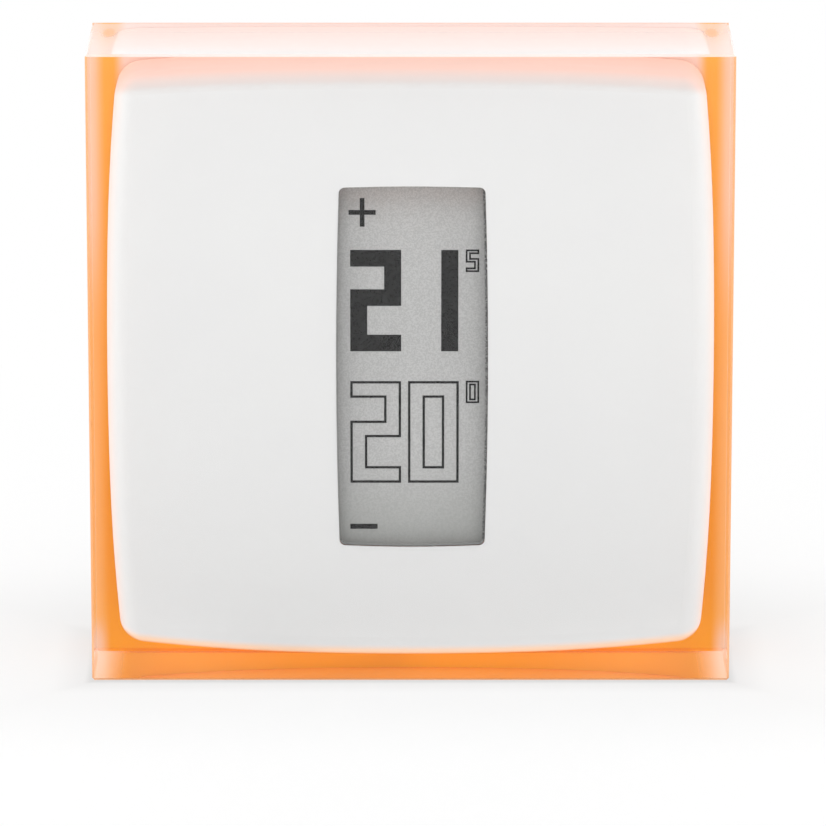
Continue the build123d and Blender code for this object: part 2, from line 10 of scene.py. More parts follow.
import bpy
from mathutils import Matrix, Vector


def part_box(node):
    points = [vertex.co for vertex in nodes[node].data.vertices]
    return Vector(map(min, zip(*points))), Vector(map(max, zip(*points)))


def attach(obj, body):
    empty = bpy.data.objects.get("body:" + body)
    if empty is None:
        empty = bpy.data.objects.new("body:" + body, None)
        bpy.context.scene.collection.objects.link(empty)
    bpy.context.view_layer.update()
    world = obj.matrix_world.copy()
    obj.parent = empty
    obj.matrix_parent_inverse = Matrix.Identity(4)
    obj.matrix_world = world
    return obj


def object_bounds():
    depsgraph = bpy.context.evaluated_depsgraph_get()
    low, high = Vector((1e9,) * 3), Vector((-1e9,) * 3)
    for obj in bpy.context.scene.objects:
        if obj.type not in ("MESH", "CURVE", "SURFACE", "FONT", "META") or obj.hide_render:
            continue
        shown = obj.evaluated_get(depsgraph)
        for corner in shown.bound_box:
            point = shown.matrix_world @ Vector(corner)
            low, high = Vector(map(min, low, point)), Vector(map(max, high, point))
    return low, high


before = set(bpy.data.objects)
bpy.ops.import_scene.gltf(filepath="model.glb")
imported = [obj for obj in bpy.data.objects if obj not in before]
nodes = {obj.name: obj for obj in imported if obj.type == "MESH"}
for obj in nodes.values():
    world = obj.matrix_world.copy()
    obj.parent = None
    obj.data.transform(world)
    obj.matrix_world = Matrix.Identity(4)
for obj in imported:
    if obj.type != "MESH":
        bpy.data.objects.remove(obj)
cad_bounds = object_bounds()
print("nodes:", len(nodes), "box:", cad_bounds)

# %% [markdown]
# ## Camera
# The camera was found from the block's eight visible corners: a long lens, far away and a little above,
# so that the top face shows as a thin strip. A long lens keeps the block's sides almost upright.

# %% Camera
camera_spot = (0.0003167, -0.86358, 0.206135)
looks_down = 14.119
bpy.ops.object.select_all(action="DESELECT")
bpy.ops.object.camera_add(location=camera_spot, rotation=(radians(90 - looks_down), 0, 0))
camera = bpy.context.object
camera.data.lens = 293.15
camera.data.sensor_width = 36
camera.data.clip_start = 0.05
camera.data.clip_end = 20
bpy.context.scene.camera = camera
bpy.context.scene.view_settings.view_transform = "Standard"
print("camera at", camera_spot, "looking down by", looks_down, "degrees")

# %% [markdown]
# ## Sums with sockets
# Shader maths is easier to read as sums than as boxes and lines. This small class holds one output
# socket. Adding, taking away or comparing two of them adds the Math node that does it, and `node` adds
# any other node: its settings first, then the values or links of its sockets.


# %% Sums with sockets
class Wire:
    def __init__(self, tree, socket=None):
        self.tree = tree
        self.socket = socket

    def node(self, kind, settings=None, sockets=None, output=0):
        made = self.tree.nodes.new(kind)
        for name, value in (settings or {}).items():
            setattr(made, name, value)
        for name, value in (sockets or {}).items():
            if isinstance(value, Wire):
                self.tree.links.new(value.socket, made.inputs[name])
            else:
                made.inputs[name].default_value = value
        return Wire(self.tree, made.outputs[output] if made.outputs else None)

    def output(self, name):
        """Another output of the same node."""
        return Wire(self.tree, self.socket.node.outputs[name])

    def sum(self, operation, *terms):
        return self.node("ShaderNodeMath", {"operation": operation}, dict(enumerate(terms)))

    def __add__(self, other):
        return self.sum("ADD", self, other)

    def __sub__(self, other):
        return self.sum("SUBTRACT", self, other)

    def __rsub__(self, other):
        return self.sum("SUBTRACT", other, self)

    def __neg__(self):
        return 0 - self

    def __mul__(self, other):
        return self.sum("MULTIPLY", self, other)

    def __truediv__(self, other):
        return self.sum("DIVIDE", self, other)

    def __pow__(self, other):
        return self.sum("POWER", self, other)

    def __gt__(self, other):
        return self.sum("GREATER_THAN", self, other)

    def __lt__(self, other):
        return self.sum("LESS_THAN", self, other)

    def __or__(self, other):
        return self.sum("MAXIMUM", self, other)

    def __abs__(self):
        return self.sum("ABSOLUTE", self)

    __radd__ = __add__
    __rmul__ = __mul__

    def fold(self, half):
        """Up to half and back to 0, over and over."""
        return self.sum("PINGPONG", self, half)

    def ramp(self, low, high):
        """0 below low, 1 above high and a smooth rise between."""
        sockets = {"Value": self, "From Min": low, "From Max": high}
        return self.node("ShaderNodeMapRange", {"interpolation_type": "SMOOTHSTEP"}, sockets)

    def blend(self, first, second):
        """A colour between two, by this factor. A Mix node's colours are its sockets 6 and 7."""
        ends = {6: first if isinstance(first, Wire) else (*first, 1)}
        ends[7] = second if isinstance(second, Wire) else (*second, 1)
        return self.node("ShaderNodeMix", {"data_type": "RGBA"}, {0: self, **ends}, 2)


# %% [markdown]
# ## Finishes in general
# Colours are written as they look on a screen, from 0 to 255, and turned to the linear values that the
# shaders take. Every finish reads Object coordinates, which here are metres in the part's own frame.


# %% Finishes in general
def rgb(red, green, blue):
    def linear(value):
        value /= 255
        return value / 12.92 if value < 0.04045 else ((value + 0.055) / 1.055) ** 2.4

    return linear(red), linear(green), linear(blue)


def new_finish(name):
    """A new material, an end to add its nodes with, and the place of each point of the surface."""
    material = bpy.data.materials.new(name)
    material.use_nodes = True
    material.node_tree.nodes.clear()
    wire = Wire(material.node_tree)
    return material, wire, wire.node("ShaderNodeTexCoord", output="Object")


def split(vector):
    """The X, Y and Z of a place or a direction."""
    x = vector.node("ShaderNodeSeparateXYZ", {}, {"Vector": vector})
    return x, x.output("Y"), x.output("Z")


def facing(place):
    """The X, Y and Z of the direction that the surface faces."""
    return split(place.output("Normal"))


def distance(first, second):
    return (first * first + second * second) ** 0.5


def speckle(place, scale, detail=2.0):
    """Cloudy noise from 0 to 1, whose blotches are about 1 / scale metres wide."""
    return place.node("ShaderNodeTexNoise", {}, {"Vector": place, "Scale": scale, "Detail": detail})


def bump(height, strength, reach):
    return height.node("ShaderNodeBump", {}, {"Height": height, "Strength": strength, "Distance": reach})


def surface(wire, **sockets):
    """Ends a finish with the one shader that most of them need."""
    named = {name.replace("_", " "): value for name, value in sockets.items()}
    shader = wire.node("ShaderNodeBsdfPrincipled", {}, named)
    wire.node("ShaderNodeOutputMaterial", {}, {"Surface": shader})


def wear(material, *names):
    for name in names:
        mesh = nodes[name].data
        mesh.materials.clear()
        mesh.materials.append(material)
    print(material.name, "on", ", ".join(names))


# %% [markdown]
# ## Paper floor
# The object stands on white paper that runs out of the picture, as in a product photo. Seen by the
# camera, in a reflection or through the acrylic, the paper's own light makes it white; its other half
# is plain paper, which keeps the shadow. A painted contact shadow darkens the paper where the block stands,
# and less of its own light is mixed in near the block. Clear acrylic lets light down to the paper under it
# and back, which a painted glow of the paper under the block, for diffuse rays, stands for.


# %% Paper floor
def seen_rays(wire):
    """The kinds of ray, and 1 for those by which the camera sees, straight or by way of the block."""
    paths = wire.node("ShaderNodeLightPath", output="Is Camera Ray")
    return paths, paths | paths.output("Is Glossy Ray") | paths.output("Is Transmission Ray")


low, high = cad_bounds
air_under = 0.0001
bpy.ops.mesh.primitive_plane_add(size=6, location=(0, 0, low.z - air_under))
floor = bpy.context.object
floor.name = "paper"
paper, wire, place = new_finish("paper")
x, y, _ = split(place)
out_x = abs(x) - high.x
out_y = abs(y - (low.y + high.y) / 2) - (high.y - low.y) / 2
outside = (out_x | out_y) | 0.0
hard_shade, soft_shade, wide_shade, white_paper = 0.0012, 0.006, 0.04, 0.15
# painted contact shadow: the paper's tone darkens towards the block's footprint
contact = outside.ramp(0.0, hard_shade) * 0.6 + outside.ramp(0.0, soft_shade) * 0.4
fibre = speckle(place, 900).blend(rgb(248, 248, 248), rgb(252, 252, 252))
tone = outside.ramp(0.0, wide_shade).blend(rgb(230, 230, 230), fibre)
tone = contact.blend(rgb(158, 156, 155), tone)
matte = wire.node("ShaderNodeBsdfDiffuse", {}, {"Color": tone})
paths, seen = seen_rays(wire)
below = (outside < 0.000001) * paths.output("Is Diffuse Ray")
glow = wire.node("ShaderNodeEmission", {}, {"Color": (1, 1, 1, 1), "Strength": below * 0.25 + 1.0})
lit = seen * (outside.ramp(0.0, white_paper) * 0.4 + 0.6) | below
both = wire.node("ShaderNodeMixShader", {}, {0: lit, 1: matte, 2: glow})
wire.node("ShaderNodeOutputMaterial", {}, {"Surface": both})
floor.data.materials.append(paper)
print("floor at", round(low.z - air_under, 5))

# %% [markdown]
# ## Room and lamps
# A pale room, a wide lamp high in front, two at the sides and a weak one behind give an even light. The
# room is white where it is seen and dimmer as a light. The lamp behind would show as a white patch in the
# block's top, so it isn't mirrored.

# %% Room and lamps
world = bpy.data.worlds.new("pale room")
bpy.context.scene.world = world
world.use_nodes = True
world.node_tree.nodes.clear()
wire = Wire(world.node_tree)
_, seen = seen_rays(wire)
room_light = 0.5
light = seen * (1 - room_light) + room_light
sky = wire.node("ShaderNodeBackground", {}, {"Color": (1, 1, 1, 1), "Strength": light})
wire.node("ShaderNodeOutputWorld", {}, {"Surface": sky})

lamps = {
    "front lamp": ((0, -0.465, 0.953), (radians(26), 0, 0), 0.8, 5.0),
    "left lamp": ((-0.8, -0.15, 0.12), (radians(82), 0, radians(-79)), 0.6, 2.9),
    "right lamp": ((0.8, -0.15, 0.12), (radians(82), 0, radians(79)), 0.6, 2.7),
    "back lamp": ((0, 0.9, 0.35), (radians(69), 0, radians(180)), 0.8, 2.0),
}
for name, (spot, turn, width, watts) in lamps.items():
    bpy.ops.object.light_add(type="AREA", location=spot, rotation=turn)
    lamp = bpy.context.object
    lamp.name = name
    lamp.data.shape = "DISK"
    lamp.data.size = width
    lamp.data.energy = watts
    lamp.visible_glossy = name != "back lamp"
print("room", room_light, "and", len(lamps), "lamps")

# %% [markdown]
# ## Orange film
# A tinted film closes the block's back rim. Its colour is all that the clear sides show. It is one orange,
# but the light that falls on it through the block is painted into its colour: painted shade makes it deep
# at the foot, and painted light makes it paler at the outer edges and pink along the top. Ramps of the
# height and of the distance from the middle blend these tones.

# %% Orange film
film, wire, place = new_finish("orange film")
x, _, height = split(place)
across, drop = abs(x), -height
# painted light and shade: deep orange at the foot, paler at the outer edges, pink along the top
rise = height.ramp(-0.03, 0.036) + speckle(place, 120) * 0.1 - 0.05
deep = rise.blend(rgb(247, 157, 24), rgb(253, 175, 68))
off_foot = across.ramp(0.028, 0.038) | height.ramp(-0.036, -0.03)
deep = off_foot.blend(rgb(253, 168, 28), deep)
ends = height.ramp(0.0, 0.022) | drop.ramp(0.036, 0.041)
pale = ends.blend(rgb(253, 182, 106), rgb(254, 206, 176))
outer_edge = across.ramp(0.0395, 0.0415)
tint = outer_edge.blend(deep, pale)
painted_pink_light = height.ramp(0.030, 0.036) * (1 - across.ramp(0.0368, 0.0386))
tint = painted_pink_light.blend(tint, rgb(253, 214, 198))
surface(wire, Base_Color=tint, Roughness=0.6, Specular_IOR_Level=0.0)
wear(film, "tint_film")

# %% [markdown]
# ## Clear acrylic
# The block is one piece of clear acrylic with a hard coat that reflects little. A plain glass shader would
# bend and mirror the lamps' light too, which is slow and noisy and leaves the inside dark. So only what
# the camera sees is bent, and lamps and soft light pass straight through. The top's dust and the
# underside's painted glow are mixed in under that switch.


# %% Clear acrylic
def polished(name, amount=None, dust_and_glow=None):
    """Clear acrylic. Where an amount is given, that much of the given layer (dust on the top, a painted
    glow underneath) lies over the gloss.
    """
    material, wire, place = new_finish(name)
    glass = {"Base Color": (1, 1, 1, 1), "IOR": 1.49, "Transmission Weight": 1.0, "Specular IOR Level": 0.2}
    block = wire.node("ShaderNodeBsdfPrincipled", {}, glass | {"Roughness": speckle(place, 260) * 0.02})
    if dust_and_glow:
        block = wire.node("ShaderNodeMixShader", {}, {0: amount(place), 1: block, 2: dust_and_glow(place)})
    clear = wire.node("ShaderNodeBsdfTransparent", {}, {"Color": (1, 1, 1, 1)})
    paths = wire.node("ShaderNodeLightPath", output="Is Shadow Ray")
    passing = paths | paths.output("Is Diffuse Ray")
    both = wire.node("ShaderNodeMixShader", {}, {0: passing, 1: block, 2: clear})
    wire.node("ShaderNodeOutputMaterial", {}, {"Surface": both})
    print("acrylic:", name)
    return material


acrylic = polished("clear acrylic")

# %% [markdown]
# ## Dust and paper light
# The top has gathered fine dust, more towards its front edge, with a wiped spot near each end. The
# underside stands on the lit paper and takes in its light, most at the two ends, as a painted peach glow.
# The dust is a dull white. The light from below needs a shader that shows what falls on the other side,
# which is Translucent.


# %% Dust and paper light
wiped_x, wiped_y, wiped_stretch = 0.039, -0.0073, 0.28


def top_dust(place):
    x, y, _ = split(place)
    off_spot = distance(abs(x) - wiped_x, (y - wiped_y) * wiped_stretch)
    wiped = 1 - off_spot.ramp(0.0005, 0.0011)
    return ((-y).ramp(0.0, 0.021) * 0.38 + 0.17) * (1 - wiped)


def dust(place):
    tone = speckle(place, 700).blend(rgb(252, 248, 247), rgb(255, 253, 252))
    dull = {"Base Color": tone, "Roughness": 0.9, "Specular IOR Level": 0.0}
    return place.node("ShaderNodeBsdfPrincipled", {}, dull)


# painted glow from the paper below, stronger towards the two ends
def under_light(place):
    across = abs(split(place)[0])
    return across.ramp(0.004, 0.032) * 0.1 + across.ramp(0.037, 0.0412) * 0.5


def paper_light(place):
    return place.node("ShaderNodeBsdfTranslucent", {}, {"Color": (*rgb(255, 210, 184), 1)})


dusty_top = polished("dusty top", top_dust, dust)
underside = polished("lit underside", under_light, paper_light)

# %% [markdown]
# ## Glue, window edge and frosted edges
# Glue joins the block to the white face in its hollow and to the film, so light does not bend there, and
# those faces let it straight through. The faces around the window are a dull grey, painted shade that
# darkens the window's rim. The cutter frosts the front edges, and their colours are painted light: a
# painted highlight makes the upper one white, and the others carry a painted glow of the film's colour.

# %% Glue, window edge and frosted edges
glue, wire, place = new_finish("clear glue")
clear = wire.node("ShaderNodeBsdfTransparent", {}, {"Color": (1, 1, 1, 1)})
wire.node("ShaderNodeOutputMaterial", {}, {"Surface": clear})

window_edge, wire, place = new_finish("window edge")
# painted shade: the grey of the window's edge faces darkens the window's rim
painted_rim_shade = speckle(place, 3000).blend(rgb(120, 120, 119), rgb(150, 150, 148))
surface(wire, Base_Color=painted_rim_shade, Roughness=0.7)

frosted, wire, place = new_finish("frosted edge")
_, _, facing_z = facing(place)
top_edge = facing_z.ramp(0.2, 0.6)
# painted light: a white highlight on the upper edge, a painted orange glow of the film on the others
painted_highlight_white = speckle(place, 2500).blend(rgb(250, 248, 246), rgb(255, 253, 251))
painted_film_glow = speckle(place, 2500).blend(rgb(247, 178, 128), rgb(252, 192, 148))
dry = {"Base Color": top_edge.blend(painted_film_glow, painted_highlight_white), "Roughness": 0.9, "Specular IOR Level": 0.0}
frost = wire.node("ShaderNodeBsdfPrincipled", {}, dry)
clear = wire.node("ShaderNodeBsdfTransparent", {}, {"Color": (1, 1, 1, 1)})
both = wire.node("ShaderNodeMixShader", {}, {0: 0.75 - top_edge * 0.1, 1: clear, 2: frost})
wire.node("ShaderNodeOutputMaterial", {}, {"Surface": both})
print("finishes for the block's inner faces and edges:", glue.name, window_edge.name, frosted.name)

# %% [markdown]
# ## Which face of the block is which
# The block is one solid, so its finishes are given face by face. A face's middle and normal tell whether
# it lies in the hollow, at the window, on the back rim, on a front edge, on top or underneath. The film
# is folded over the lower back edge, so that edge wears the film's finish.

# %% Which face of the block is which
hollow_reach, hollow_front, hollow_back = 0.0400, -0.0207, -0.0007
window_x, window_half_width, window_half_height = 0.0002, 0.0099, 0.02395
back_rim, front_edge = -0.00095, -0.0216


def part_of_block(face):
    (x, y, z), normal = face.center, face.normal
    if max(abs(x), abs(z)) < hollow_reach and hollow_front < y < hollow_back:
        at_window = abs(x - window_x) < window_half_width and abs(z) < window_half_height
        return "window edge" if at_window and abs(normal.y) < 0.3 and normal.z < 0.3 else "glued"
    if y > back_rim:
        return "film" if normal.z < -0.5 else "glued"
    if y < front_edge and normal.y > -0.9:
        return "frosted"
    if abs(normal.z) > 0.5:
        return "under" if z < 0 else "top"
    return "clear"


cover_finishes = {"clear": acrylic, "glued": glue, "window edge": window_edge, "frosted": frosted,
                  "film": film, "under": underside, "top": dusty_top}
wear(acrylic, "clear_cover")
cover = nodes["clear_cover"].data
slots = list(cover_finishes)
for slot in slots[1:]:
    cover.materials.append(cover_finishes[slot])
counts = dict.fromkeys(slots, 0)
for face in cover.polygons:
    part = part_of_block(face)
    face.material_index = slots.index(part)
    counts[part] += 1
print("faces of the block:", counts)

# %% [markdown]
# ## White face
# The face is a white moulding. Light that the film has coloured reaches the sides that it turns to the
# block's edges, and the finish paints that light onto them: they go from pink near the front to peach at
# the back, and to orange underneath, where no other light comes in. Painted shade makes the upward-facing
# part greyer. The surface's own direction and its depth say which part is which, so no line has to be
# drawn: each tone fades out as the rounded shoulder turns to the front.

# %% White face
white, wire, place = new_finish("white moulding")
x, y, _ = split(place)
depth = -y
_, facing_y, facing_z = facing(place)
upper = facing_z.ramp(0.05, 0.5)
under = (-facing_z).ramp(0.3, 0.8)
forward = (-facing_y - upper * 0.2 - under * 0.35).ramp(0.15, 0.88)
mottle_and_shade = speckle(place, 45).blend(rgb(229, 229, 229), rgb(233, 233, 232))
# painted shade: the upward-facing part turns greyer
mottle_and_shade = facing_z.ramp(0.12, 0.5).blend(mottle_and_shade, rgb(217, 212, 210))
# painted light from the film: pink and peach on the sides and top, orange underneath
side = depth.ramp(0.001, 0.015).blend(rgb(252, 200, 160), rgb(253, 226, 214))
over = depth.ramp(0.004, 0.018).blend(rgb(252, 205, 188), rgb(247, 207, 193))
side = upper.blend(side, over)
below = abs(x).ramp(0.018, 0.03).blend(rgb(242, 142, 36), rgb(244, 150, 50))
below = (-facing_y).ramp(0.2, 0.6).blend(below, rgb(254, 206, 168))
side = under.blend(side, below)
tone = forward.blend(side, mottle_and_shade)
grain = bump(speckle(place, 4000), 0.1, 0.00005)
surface(wire, Base_Color=tone, Roughness=0.55, Specular_IOR_Level=0.2, Normal=grain)
wear(white, "face_liner")

# %% [markdown]
# ## Electronic paper
# The display is grey electronic paper, a little grainy because its dots are tiny capsules. Painted shade
# darkens it towards its rim and its foot, and a grainy dark line runs along its right edge.

# %% Electronic paper
display_half_width, display_bulge, dot_scale = 0.0098, 0.7, 5200
paper_grey, wire, place = new_finish("electronic paper")
x, _, height = split(place)
across = x - window_x
rim = display_half_width - height * height * display_bulge - abs(across)
dots = speckle(place, dot_scale, 1.0)
tone = dots.ramp(0.38, 0.62).blend(rgb(184, 184, 183), rgb(198, 198, 197))
# painted shade: darker towards the rim and the foot
tone = ((1 - rim.ramp(0.0, 0.0018)) * 0.25).blend(tone, rgb(150, 150, 149))
tone = ((-height).ramp(0.010, 0.0245) * 0.6).blend(tone, rgb(158, 160, 156))
# a grainy dark line along the right edge
dark_right_line = (across > 0.0) * (1 - rim.ramp(0.00015, 0.00045)) * speckle(place, 7000).ramp(0.35, 0.6)
tone = dark_right_line.blend(tone, rgb(60, 60, 60))
surface(wire, Base_Color=tone, Roughness=0.7, Specular_IOR_Level=0.1)
wear(paper_grey, "display_laminate")

# %% [markdown]
# ## Display ink
# The signs are the dark side of the same capsules, so the ink has the paper's dots. It is a layer as thin
# as a hair on the display's front.

# %% Display ink
ink, wire, place = new_finish("display ink")
dots = speckle(place, dot_scale, 1.0)
grain = dots.ramp(0.38, 0.62).blend(rgb(0, 0, 0), rgb(44, 44, 44))
surface(wire, Base_Color=grain, Roughness=0.7, Specular_IOR_Level=0.0)
ink_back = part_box("display_laminate")[0][1]
ink_depth = 0.00003
print("ink from", round(ink_back, 5), "to", round(ink_back - ink_depth, 5))

# %% [markdown]
# ## One sign
# The signs could be text, but their letters are built on a grid: three columns and five rows, whose
# strokes all have one width. So a plane of the sign's size is cut along the grid's lines, the cells that
# stay blank are deleted, and the rest gets a little thickness. An outlined sign is inset by the width of
# its line, and what the line encloses is deleted.

# %% One sign
mm = 1000


def cut_sign(name, left, top, columns, rows, lit, line=0.0):
    """One sign. Sizes are in millimetres, and lit is a text with a row of cells for each row."""
    width, height = sum(columns), sum(rows)
    spot = ((left + width / 2) / mm, ink_back - ink_depth, (top - height / 2) / mm)
    bpy.ops.object.select_all(action="DESELECT")
    bpy.ops.mesh.primitive_plane_add(size=0.001, location=spot, rotation=(pi / 2, 0, 0))
    sign = bpy.context.object
    sign.name = sign.data.name = name
    sign.scale = (width, height, 1)
    bpy.ops.object.transform_apply(location=True, rotation=True, scale=True)
    cuts_x = [(left + sum(columns[:i])) / mm for i in range(1, len(columns))]
    cuts_z = [(top - sum(rows[:i])) / mm for i in range(1, len(rows))]
    bpy.context.tool_settings.mesh_select_mode = (False, False, True)
    bpy.ops.object.mode_set(mode="EDIT")
    for x in cuts_x:
        bpy.ops.mesh.select_all(action="SELECT")
        bpy.ops.mesh.bisect(plane_co=(x, 0, 0), plane_no=(1, 0, 0))
    for z in cuts_z:
        bpy.ops.mesh.select_all(action="SELECT")
        bpy.ops.mesh.bisect(plane_co=(0, 0, z), plane_no=(0, 0, 1))
    bpy.ops.mesh.select_all(action="DESELECT")
    bpy.ops.object.mode_set(mode="OBJECT")
    for face in sign.data.polygons:
        column = sum(face.center.x > x for x in cuts_x)
        row = sum(face.center.z < z for z in cuts_z)
        face.select = lit.split()[row][column] == "."
    bpy.ops.object.mode_set(mode="EDIT")
    bpy.ops.mesh.delete(type="FACE")
    bpy.ops.mesh.select_all(action="SELECT")
    if line:
        bpy.ops.mesh.inset(thickness=line / mm, use_even_offset=True)
        bpy.ops.mesh.delete(type="FACE")
        bpy.ops.mesh.select_all(action="SELECT")
    bpy.ops.mesh.extrude_region_move(TRANSFORM_OT_translate={"value": (0, ink_depth, 0)})
    bpy.ops.mesh.select_all(action="SELECT")
    bpy.ops.mesh.normals_make_consistent(inside=False)
    bpy.ops.object.mode_set(mode="OBJECT")
    sign.data.materials.append(ink)
    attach(sign, "chassis")
    print(name, "faces:", len(sign.data.polygons))


# %% [markdown]
# ## Signs on the display
# Plus and minus mark where to press. The large numbers show the room's temperature in full ink and the
# chosen one in outline, each with its half degrees as a small raised number.

# %% Signs on the display
big_columns, big_rows = [2.19] * 3, [2.19, 3.01, 2.19, 3.83, 2.19]
line_columns, line_rows = [2.19] * 3, [2.22, 3.05, 2.22, 3.87, 2.22]
small_columns, small_rows = [0.67, 0.4, 0.67], [0.61, 0.51, 0.61, 0.64, 0.61]
big_line, small_line = 0.31, 0.23
two = "### ..# ### #.. ###"
zero = "### #.# #.# #.# ###"
five = "### #.. ### ..# ###"
cut_sign("sign_plus", -7.97, 22.06, [1.44, 0.61, 1.44], [1.57, 0.62, 1.57], ".#. ### .#.")
cut_sign("digit_two", -7.78, 15.23, big_columns, big_rows, two)
cut_sign("digit_one", 3.96, 15.23, [2.2], big_rows, "# # # # #")
cut_sign("raised_five", 7.11, 15.29, small_columns, small_rows, five, small_line)
cut_sign("outlined_two", -7.80, -2.16, line_columns, line_rows, two, big_line)
cut_sign("outlined_zero", -0.33, -2.16, line_columns, line_rows, zero, big_line)
cut_sign("raised_zero", 7.14, -2.11, small_columns, small_rows, zero, small_line)
cut_sign("sign_minus", -7.83, -21.27, [3.54], [0.66], "#")

# %% [markdown]
# ## Moulded plastics
# The tray behind the face, the wall plate and the terminal block are injection mouldings. The mould is
# spark-eroded, which leaves a fine grain, and pins push the moulding out, which leaves faint rings where
# a wall is flat. Noise gives the grain, and a ring around each point of a grid gives the pins' marks.

# %% Moulded plastics
pin_radius, ring_width = 0.0015, 0.0002


def moulded(name, dark, light, pitch, *names):
    material, wire, place = new_finish(name)
    x, _, z = split(place)
    off_ring = abs(distance(x.fold(pitch / 2), z.fold(pitch / 2)) - pin_radius)
    _, facing_y, _ = facing(place)
    ring = (1 - off_ring.ramp(0.0, ring_width)) * (abs(facing_y) > 0.9)
    spark = speckle(place, 3500, 3.0)
    tone = speckle(place, 55, 3.0).blend(rgb(*dark), rgb(*light))
    tone = (ring * 0.25).blend(tone, rgb(150, 150, 148))
    relief = bump(spark - ring * 0.6, 0.3, 0.00004)
    surface(wire, Base_Color=tone, Roughness=spark * 0.3 + 0.4, Normal=relief)
    wear(material, *names)


moulded("tray plastic", (220, 220, 218), (232, 232, 230), 0.016, "chassis")
moulded("plate plastic", (203, 205, 206), (217, 219, 220), 0.02, "wall_plate")
moulded("terminal plastic", (112, 116, 120), (132, 136, 140), 0.05, "terminal_block")

# %% [markdown]
# ## Metals
# Screws and pins are turned steel, the shield, the switches and the battery contacts are nickel-plated
# sheet, and the rivets, clamps and spring contacts are brass. They differ in colour and in how the tool
# ran over them: noise that is squeezed along one axis gives the fine lines, and a second, slower noise
# gives the stains of handling.


# %% Metals
def squeezed(place, squeeze):
    return place.node("ShaderNodeVectorMath", {"operation": "MULTIPLY"}, {0: place, 1: squeeze})


def metal(name, dark, light, squeeze, smooth, *names):
    material, wire, place = new_finish(name)
    brush = speckle(squeezed(place, squeeze), 900, 3.0)
    tone = (brush * 0.6 + speckle(place, 300) * 0.4).blend(rgb(*dark), rgb(*light))
    relief = bump(brush, 0.15, 0.00002)
    surface(wire, Base_Color=tone, Metallic=1.0, Roughness=brush * 0.2 + smooth, Normal=relief)
    wear(material, *names)


metal("turned steel", (148, 148, 148), (200, 200, 198), (1, 14, 1), 0.22,
      "pivot_pins", "board_screws", "terminal_screws")
metal("nickel sheet", (170, 168, 162), (214, 212, 206), (1, 1, 10), 0.18,
      "radio_shield", "switch_bodies", "contact_bridge_left", "contact_tab_left",
      "contact_bridge_right", "contact_tab_right")
metal("brass", (172, 128, 58), (224, 186, 112), (1, 10, 1), 0.2,
      "spring_contacts", "wire_clamps", "contact_rivets")

# %% [markdown]
# ## Circuit boards
# A board is glass cloth under green lacquer. Copper tracks show through the lacquer as paler lines, which
# run one way in one place and the other way in the next; where a track changes sides there is a plated
# hole. Square cells choose the direction, a folded coordinate draws the lines, and rounder cells place
# the holes. The cut edges are bare and straw-coloured.

# %% Circuit boards
track_pitch, track_inner, track_outer = 0.0008, 0.00008, 0.00014
hole_share, plating_share = 0.05, 0.12
board, wire, place = new_finish("circuit board")
x, _, z = split(place)
sheet = wire.node("ShaderNodeCombineXYZ", {}, {"X": x, "Y": z, "Z": 0.0})
square = {"voronoi_dimensions": "2D", "distance": "CHEBYCHEV"}
turn = wire.node("ShaderNodeTexVoronoi", square, {"Vector": sheet, "Scale": 170.0}, "Color") > 0.5
line_x = 1 - x.fold(track_pitch / 2).ramp(track_inner, track_outer)
line_z = 1 - z.fold(track_pitch / 2).ramp(track_inner, track_outer)
track = (turn * line_x + (1 - turn) * line_z) * speckle(place, 90).ramp(0.42, 0.5)
rounder = {"voronoi_dimensions": "2D"}
spot = wire.node("ShaderNodeTexVoronoi", rounder, {"Vector": sheet, "Scale": 280.0}, "Distance")
plated = (spot < plating_share) * (spot > hole_share)
drilled = spot < hole_share
_, facing_y, _ = facing(place)
flat = abs(facing_y) > 0.6
lacquer = speckle(place, 400).blend(rgb(16, 78, 46), rgb(24, 92, 56))
tone = track.blend(lacquer, rgb(46, 122, 78))
tone = plated.blend(tone, rgb(214, 178, 104))
tone = drilled.blend(tone, rgb(14, 20, 16))
cloth = speckle(place, 2000).blend(rgb(176, 164, 112), rgb(204, 192, 142))
tone = flat.blend(cloth, tone)
relief = bump(track * 0.5 + plated, 0.4, 0.00003)
surface(wire, Base_Color=tone, Metallic=plated * flat, Roughness=0.6 - flat * 0.3, Normal=relief)
wear(board, "main_board", "radio_base")

# %% [markdown]
# ## Black parts on the board
# Connector, relay, sensor and plungers are black plastic or epoxy with a dull, fine-grained face.


# %% Black parts on the board
def black_epoxy(place):
    return speckle(place, 2600, 3.0).blend(rgb(20, 20, 21), rgb(38, 38, 40))


epoxy, wire, place = new_finish("black plastic")
grain = speckle(place, 4200, 3.0)
relief = bump(grain, 0.25, 0.00003)
surface(wire, Base_Color=black_epoxy(place), Roughness=grain * 0.25 + 0.45, Normal=relief)
wear(epoxy, "ribbon_connector", "temperature_sensor", "power_relay", "plunger_top", "plunger_bottom")

# %% [markdown]
# ## Controller
# The controller has tinned legs around its black body and a round mark at its first leg. Its legs are
# part of the same solid, so the finish tells them apart by how far they stand out from the middle.

